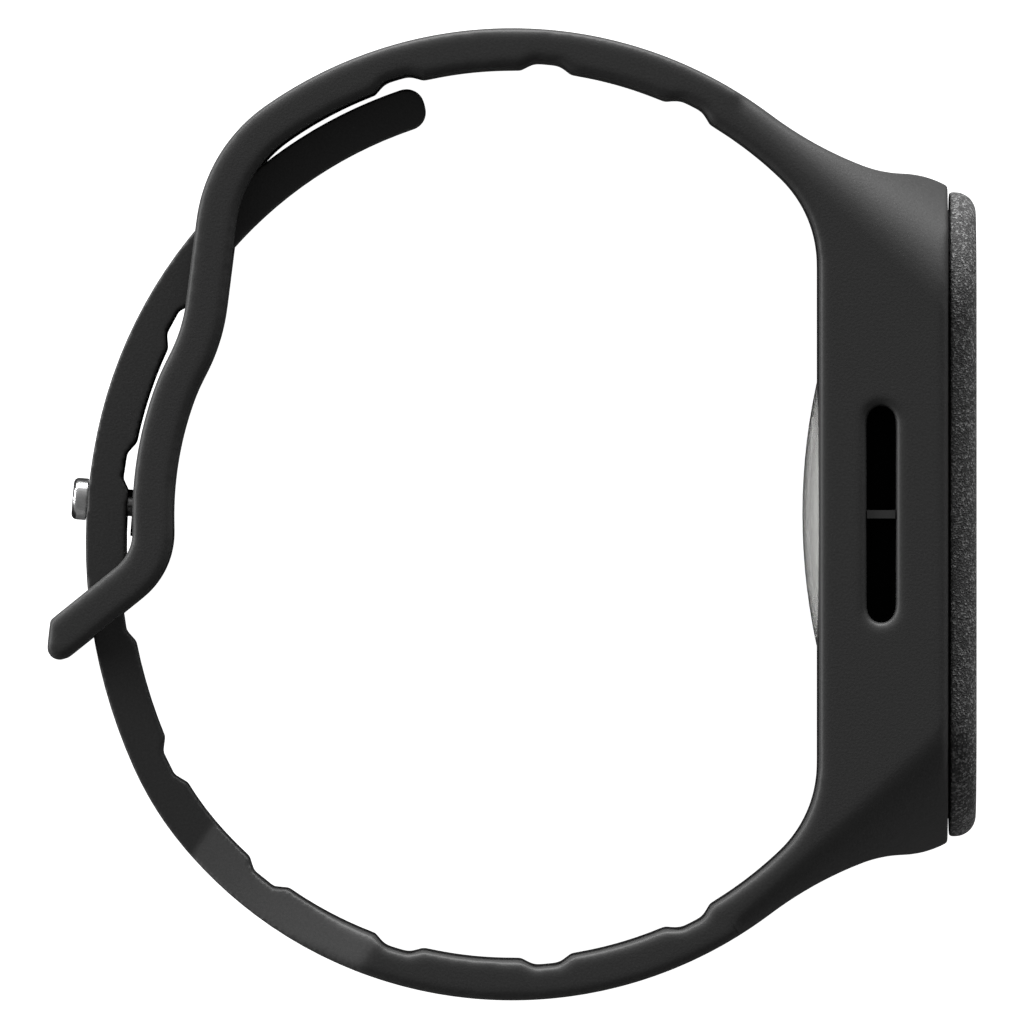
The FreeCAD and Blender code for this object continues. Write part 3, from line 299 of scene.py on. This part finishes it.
def silicone():
    """Soft-touch matte silicone with a fine moulded grain."""
    material, shader = mottled("silicone", grey(0.026), grey(0.034), 0.55, 6000, 0.012 * MM)
    shader.inputs["Specular IOR Level"].default_value = 0.35
    return material


def textile():
    """Heathered charcoal knit: small light and dark flecks over a fine raised weave."""
    material, shader, where = finish_of("front_textile", 0.9)
    cells = grown(material, "ShaderNodeTexVoronoi", Scale=9000.0, Randomness=1.0)
    flecks = grown(material, "ShaderNodeValToRGB")
    ramp = flecks.color_ramp
    ramp.elements[0].position = 0.0
    ramp.elements[0].color = grey(0.012)
    ramp.elements[1].position = 1.0
    ramp.elements[1].color = grey(0.17)
    middle = ramp.elements.new(0.7)
    middle.color = grey(0.045)
    split = grown(material, "ShaderNodeSeparateColor")
    bump = grown(material, "ShaderNodeBump", Strength=1.0, Distance=0.05 * MM)
    wire(material, where, "Object", cells, "Vector")
    wire(material, cells, "Color", split, "Color")
    wire(material, split, "Red", flecks, "Fac")
    wire(material, flecks, "Color", shader, "Base Color")
    wire(material, cells, "Distance", bump, "Height")
    wire(material, bump, "Normal", shader, "Normal")
    return material


def perforated(name, level, pitch, roughness):
    """A plate with rows of small holes that are painted darker as shade."""
    material, shader, where = finish_of(name, roughness)
    cells = grown(material, "ShaderNodeTexVoronoi", Scale=1 / pitch, Randomness=0.0)
    holes = grown(material, "ShaderNodeValToRGB")
    holes.color_ramp.elements[0].position = 0.28
    # the holes' near black is painted shade
    holes.color_ramp.elements[0].color = grey(0.001)
    holes.color_ramp.elements[1].position = 0.36
    holes.color_ramp.elements[1].color = grey(level)
    wire(material, where, "Object", cells, "Vector")
    wire(material, cells, "Distance", holes, "Fac")
    wire(material, holes, "Color", shader, "Base Color")
    shader.inputs["Specular IOR Level"].default_value = DULL
    return material


def port_shade_and_rib_light():
    """Near black as painted shade in the side port's openings, with the cross rib in a dark grey
    painted lighter than the band to make up for the shade of its pocket.
    """
    # the two near-black tones are painted shade for the side port's openings
    material, shader = mottled("port_shade_black", grey(0.0008), grey(0.0012), 0.9, 4000, 0.004 * MM)
    shader.inputs["Specular IOR Level"].default_value = DULL
    tone = [made for made in material.node_tree.nodes if made.type == "VALTORGB"][0]
    where = grown(material, "ShaderNodeTexCoord")
    parts = grown(material, "ShaderNodeSeparateXYZ")
    along = grown(material, "ShaderNodeMath", operation="ABSOLUTE")
    # mask of the cross rib, which gets painted light
    near = grown(material, "ShaderNodeMath", operation="LESS_THAN")
    near.inputs[1].default_value = RIB_HALF
    mix = grown(material, "ShaderNodeMix", data_type="RGBA")
    wire(material, where, "Object", parts, "Vector")
    wire(material, parts, "Y", along, 0)
    wire(material, along, 0, near, 0)
    wire(material, near, 0, mix, 0)
    wire(material, tone, "Color", mix, MIX_FIRST)
    # the rib's grey is painted light: lighter than the band to make up for the shade in its pocket
    mix.inputs[MIX_SECOND].default_value = grey(0.05)
    wire(material, mix, MIX_RESULT, shader, "Base Color")
    return material


def circuit(name, board, trace):
    """A board's lacquer with copper lines under it."""
    material, shader, where = finish_of(name, 0.35)
    bricks = grown(material, "ShaderNodeTexBrick", Color1=board, Color2=board, Mortar=trace,
                   Scale=350.0)
    bricks.inputs["Mortar Size"].default_value = TRACE_WIDTH
    turn = grown(material, "ShaderNodeMapping", Rotation=(0.0, math.pi / 2, 0.0))
    bump = grown(material, "ShaderNodeBump", Strength=0.5, Distance=0.03 * MM)
    wire(material, where, "Object", turn, "Vector")
    wire(material, turn, "Vector", bricks, "Vector")
    wire(material, bricks, "Color", shader, "Base Color")
    wire(material, bricks, "Fac", bump, "Height")
    wire(material, bump, "Normal", shader, "Normal")
    return material


def clear(name, tint, roughness, glow=0.0, smoke=0.0, relief=0.004, bend=1.5):
    """Smoked or water-clear plastic with faint streaks; it can glow, and bend is its index."""
    material, shader = mottled(name, tint, grey(0.9, tint[:3]), roughness, 900, relief * MM)
    shader.inputs["Transmission Weight"].default_value = CLEARNESS
    shader.inputs["IOR"].default_value = bend
    if smoke:
        haze = grown(material, "ShaderNodeVolumeAbsorption", Color=grey(0.0), Density=smoke)
        output = material.node_tree.nodes["Material Output"]
        wire(material, haze, "Volume", output, "Volume")
    if glow:
        shader.inputs["Emission Color"].default_value = tint
        shader.inputs["Emission Strength"].default_value = glow
    return material


def steel(name, level, roughness, grain=2500, relief=0.003):
    """Bare metal with a faint grain."""
    return mottled(name, grey(level * 0.85), grey(level), roughness, grain, relief * MM, 1.0)[0]


def plastic(name, level, roughness, grain=4000, relief=0.006, tint=(1.0, 1.0, 1.0)):
    """Moulded plastic, rubber or foam with a fine grain."""
    return mottled(name, grey(level * 0.8, tint), grey(level, tint), roughness, grain,
                   relief * MM)[0]


finishes = {
    "silicone": silicone(),
    "front_textile": textile(),
    "polished_steel": steel("polished_steel", 0.9, 0.2),
    "hard_black": plastic("hard_black", 0.012, 0.45),
    # mesh_black's near-black level and its darker holes are painted shade for the side port's opening
    "mesh_black": perforated("mesh_black", 0.0012, 0.3 * MM, 0.9),
    "seal_rubber": plastic("seal_rubber", 0.02, 0.8),
    "gloss_black": plastic("gloss_black", 0.008, 0.12, 1500, 0.002),
    "gold_contact": mottled("gold_contact", (0.7, 0.42, 0.12, 1), (0.95, 0.68, 0.28, 1), 0.25,
                            3000, 0.004 * MM, 1.0)[0],
    "smoke_lens": clear("smoke_lens", (0.95, 0.95, 0.93, 1.0), 0.03, smoke=130.0, relief=0.0002,
                        bend=1.15),
    "barrier_black": plastic("barrier_black", 0.01, 0.7),
    "led_green": clear("led_green", (0.25, 0.9, 0.3, 1.0), 0.2, 0.4),
    "led_clear": clear("led_clear", (0.85, 0.8, 0.6, 1.0), 0.15),
    "diode_dark": plastic("diode_dark", 0.03, 0.15, 2000, 0.002, (0.7, 0.8, 1.4)),
    "board_green": circuit("board_green", (0.01, 0.09, 0.03, 1), (0.05, 0.22, 0.07, 1)),
    "connector_cream": plastic("connector_cream", 0.7, 0.5, 2500, 0.004, (1.0, 0.93, 0.78)),
    "screw_steel": steel("screw_steel", 0.6, 0.3),
    "chip_black": plastic("chip_black", 0.015, 0.4, 5000, 0.004),
    "can_steel": steel("can_steel", 0.7, 0.28, 1800, 0.004),
    "battery_foil": steel("battery_foil", 0.75, 0.35, 700, 0.03),
    "foam_grey": plastic("foam_grey", 0.12, 0.95, 5000, 0.06),
    "antenna_copper": mottled("antenna_copper", (0.6, 0.25, 0.12, 1), (0.9, 0.45, 0.25, 1), 0.3,
                              2500, 0.004 * MM, 1.0)[0],
    "weight_grey": steel("weight_grey", 0.45, 0.4),
}


def dress(piece, slot):
    """Give a piece the finish of one of the record's slots."""
    piece.data.materials.clear()
    piece.data.materials.append(finishes[slot])


for slot_name, dressed in soft_pieces.items():
    for piece in dressed:
        dress(piece, slot_name)
for entry in frame["record"]["subparts"]:
    for place in nodes[entry["node"]].material_slots:
        place.material = finishes[entry["material_slot"]]
# the side port's insert: painted shade in its openings and painted light on its rib
for place in nodes["port_insert"].material_slots:
    place.material = port_shade_and_rib_light()


# ---------------------------------------------------------------- floor, light and camera

VIEW_SPAN = 68.15 * MM        # width of the picture at the band's upper side
VIEW_RISE = 0.15 * MM         # from the case's middle towards the upper strap
LENS = 1650.0                 # so long that the view is nearly without perspective
NEAREST = 0.05                # the camera's clip distances
FARTHEST = 50.0
FLOOR_HALF = 4000 * MM
SKY_SIDE = 0.36               # just above the horizon
SKY_TOP = 0.17                # straight up
SKY_EDGE = 0.06               # just below the horizon
SKY_BELOW = 0.02              # straight down
TURN_LOW = 0.5                # the sky's strength at -Y
TURN_HIGH = 1.5               # and at +Y
middle = Vector((RING_X, 0, BAND_TOP))


def spread_floor():
    """A pale floor under the part, bright as a light table, so that its shadow hardly shows."""
    mesh = bpy.data.meshes.new("floor")
    work = bmesh.new()
    corners = [work.verts.new((x * FLOOR_HALF + RING_X, y * FLOOR_HALF, 0))
               for x, y in ((-1, -1), (1, -1), (1, 1), (-1, 1))]
    work.faces.new(corners)
    work.to_mesh(mesh)
    work.free()
    floor = bpy.data.objects.new("floor", mesh)
    bpy.context.collection.objects.link(floor)
    material, shader, _ = finish_of("floor", 0.9)
    shader.inputs["Base Color"].default_value = grey(0.8)
    shader.inputs["Emission Color"].default_value = grey(1.0)
    shader.inputs["Emission Strength"].default_value = 1.0
    mesh.materials.append(material)
    floor.visible_glossy = False


def hang_light(name, offset, size, power):
    """A wide, low soft light that faces the band. Its offset is from the band's middle, its size is
    its width and height, and its power is in watts."""
    lamp = bpy.data.lights.new(name, "AREA")
    lamp.shape = "RECTANGLE"
    lamp.size, lamp.size_y = size
    lamp.energy = power
    made = bpy.data.objects.new(name, lamp)
    made.location = middle + Vector(offset)
    made.rotation_euler = (middle - made.location).to_track_quat("-Z", "Y").to_euler()
    bpy.context.collection.objects.link(made)


def hang_sky():
    """A grey sky, brightest just above the horizon and towards the upper strap."""
    world = bpy.data.worlds.new("studio")
    world.use_nodes = True
    sky = world.node_tree.nodes
    links = world.node_tree.links
    where = sky.new("ShaderNodeTexCoord")
    parts = sky.new("ShaderNodeSeparateXYZ")
    band = sky.new("ShaderNodeValToRGB")
    stops = band.color_ramp.elements
    for place, level in ((0.48, SKY_EDGE), (0.58, SKY_SIDE)):
        stops.new(place).color = grey(level)
    stops[0].position = 0.28
    stops[0].color = grey(SKY_BELOW)
    stops[-1].color = grey(SKY_TOP)
    lifted = sky.new("ShaderNodeMapRange")     # from straight down to straight up
    lifted.inputs["From Min"].default_value = -1.0
    turned = sky.new("ShaderNodeMapRange")     # from the lower strap's side to the upper's
    turned.inputs["From Min"].default_value = -1.0
    turned.inputs["To Min"].default_value = TURN_LOW
    turned.inputs["To Max"].default_value = TURN_HIGH
    links.new(where.outputs["Generated"], parts.inputs["Vector"])
    links.new(parts.outputs["Z"], lifted.inputs["Value"])
    links.new(lifted.outputs["Result"], band.inputs["Fac"])
    links.new(parts.outputs["Y"], turned.inputs["Value"])
    links.new(band.outputs["Color"], sky["Background"].inputs["Color"])
    links.new(turned.outputs["Result"], sky["Background"].inputs["Strength"])
    bpy.context.scene.world = world


def place_camera():
    """A camera straight above the band, looking down its axis."""
    camera_data = bpy.data.cameras.new("camera")
    camera_data.lens = LENS
    camera_data.clip_start = NEAREST
    camera_data.clip_end = FARTHEST
    camera = bpy.data.objects.new("camera", camera_data)
    distance = VIEW_SPAN * LENS / camera_data.sensor_width
    camera.location = (RING_X, VIEW_RISE, BAND_TOP + distance)
    bpy.context.collection.objects.link(camera)
    bpy.context.scene.camera = camera


spread_floor()
hang_light("soft_top", (0, 1.1, 0.1), (1.4, 0.2), 38.0)
hang_light("soft_left", (-1.0, 0.25, 0.14), (0.9, 0.2), 12.0)
hang_sky()
bpy.context.scene.view_settings.view_transform = "Standard"
place_camera()
